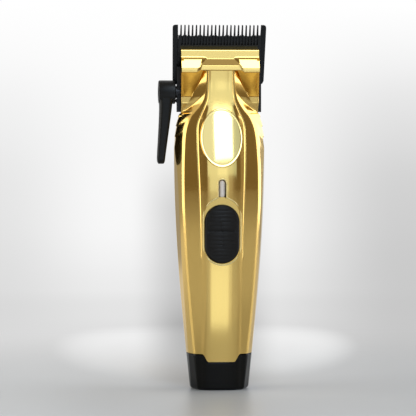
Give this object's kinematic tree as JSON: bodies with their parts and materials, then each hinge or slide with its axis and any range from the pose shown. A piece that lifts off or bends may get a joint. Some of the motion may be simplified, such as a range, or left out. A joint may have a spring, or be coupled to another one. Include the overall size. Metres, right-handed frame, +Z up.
{
  "type": "hair clipper",
  "caption": "Cordless hair clipper standing on its base: metal body, toothed blade set with a taper lever, sliding power switch, motor, cell and circuit board inside.",
  "frame": {"origin": "middle of the foot, on the plane it stands on", "axes": "+Z up through the body to the blade tips, -Y out of the front that carries the switch, +X to the side away from the taper lever"},
  "size_m": [0.0541, 0.0363, 0.1802],
  "materials": {
    "gold_casting": "polished gold-coloured anodised casting",
    "gold_badge": "mirror-polished gold-coloured plate",
    "black_cap": "gloss black moulding",
    "black_bracket": "satin black moulding",
    "black_button": "satin black moulding with ribs",
    "blade_black": "black-coated ground steel",
    "lever_black": "satin black coated die casting",
    "screw_black": "black oxide steel",
    "steel": "plain machined steel",
    "spring_steel": "spring steel",
    "yoke_plastic": "natural acetal moulding",
    "motor_plastic": "dark grey moulding",
    "bronze": "sintered bronze",
    "copper_winding": "enamelled copper wire",
    "magnet": "sintered magnet",
    "sleeve_rubber": "soft black rubber",
    "chassis_plastic": "dark grey moulding",
    "cell_wrap": "blue shrink sleeve over a steel can",
    "board_green": "green laminate",
    "chip_black": "black epoxy packages",
    "switch_metal": "stamped steel case",
    "knob_white": "off-white moulding",
    "lens_clear": "milky translucent moulding",
    "led_white": "light emitting chip on a flexible strip",
    "contact_gold": "gold-flashed brass",
    "lead_red": "red insulation",
    "lead_black": "black insulation"
  },
  "bodies": {
    "housing": {"front_housing": "gold_casting", "rear_housing": "gold_casting", "blade_cover": "gold_casting", "head_bracket": "black_bracket", "base_cap": "black_cap", "badge_plate": "gold_badge", "indicator_lens": "lens_clear", "fixed_blade": "blade_black", "blade_screws": "screw_black", "lever_washer": "steel", "detent_ball": "steel", "detent_spring": "spring_steel", "motor_can": "steel", "motor_end_cap": "motor_plastic", "motor_bearings": "bronze", "stator_coils": "copper_winding", "motor_sleeve": "sleeve_rubber", "chassis": "chassis_plastic", "bracket_screws": "steel", "battery_cell": "cell_wrap", "battery_tabs": "spring_steel", "circuit_board": "board_green", "board_chips": "chip_black", "slide_switch": "switch_metal", "indicator_led": "led_white", "charge_jack": "switch_metal", "charge_board": "board_green", "charge_contacts": "contact_gold", "contact_springs": "spring_steel", "housing_screws": "screw_black", "base_screws": "screw_black", "motor_leads": "lead_red", "battery_leads": "lead_black"},
    "lever": {"taper_lever": "lever_black", "lever_shaft": "steel", "lever_screw": "steel"},
    "carriage": {"taper_carriage": "steel", "cutter_springs": "spring_steel"},
    "cutter": {"cutter_blade": "blade_black", "cutter_yoke": "yoke_plastic", "yoke_screws": "steel"},
    "rotor": {"motor_shaft": "steel", "rotor_magnet": "magnet", "eccentric_cam": "bronze", "cam_roller": "steel"},
    "switch": {"switch_button": "black_button", "switch_knob": "knob_white"}
  },
  "joints": [
    {"name": "taper_lever_swing", "type": "hinge", "parent": "housing", "child": "lever", "pos_m": [-0.0217, 0.0025, 0.147], "axis": [-1, 0, 0], "range_deg": [0, 50]},
    {"name": "taper_carriage_slide", "type": "slide", "parent": "housing", "child": "carriage", "axis": [0, -0.2588, 0.9659], "range_m": [0, 0.00161]},
    {"name": "cutter_stroke", "type": "slide", "parent": "carriage", "child": "cutter", "axis": [1, 0, 0], "range_m": [-0.001, 0.001]},
    {"name": "rotor_spin", "type": "hinge", "parent": "housing", "child": "rotor", "pos_m": [0, -0.0015, 0.11], "axis": [0, 0, 1], "continuous": true},
    {"name": "power_switch_slide", "type": "slide", "parent": "housing", "child": "switch", "axis": [0, 0, 1], "range_m": [0, 0.003]}
  ],
  "couplings": [
    {"joint": "taper_lever_swing", "follows": "taper_carriage_slide", "rad_per_m": 543.4}
  ]
}
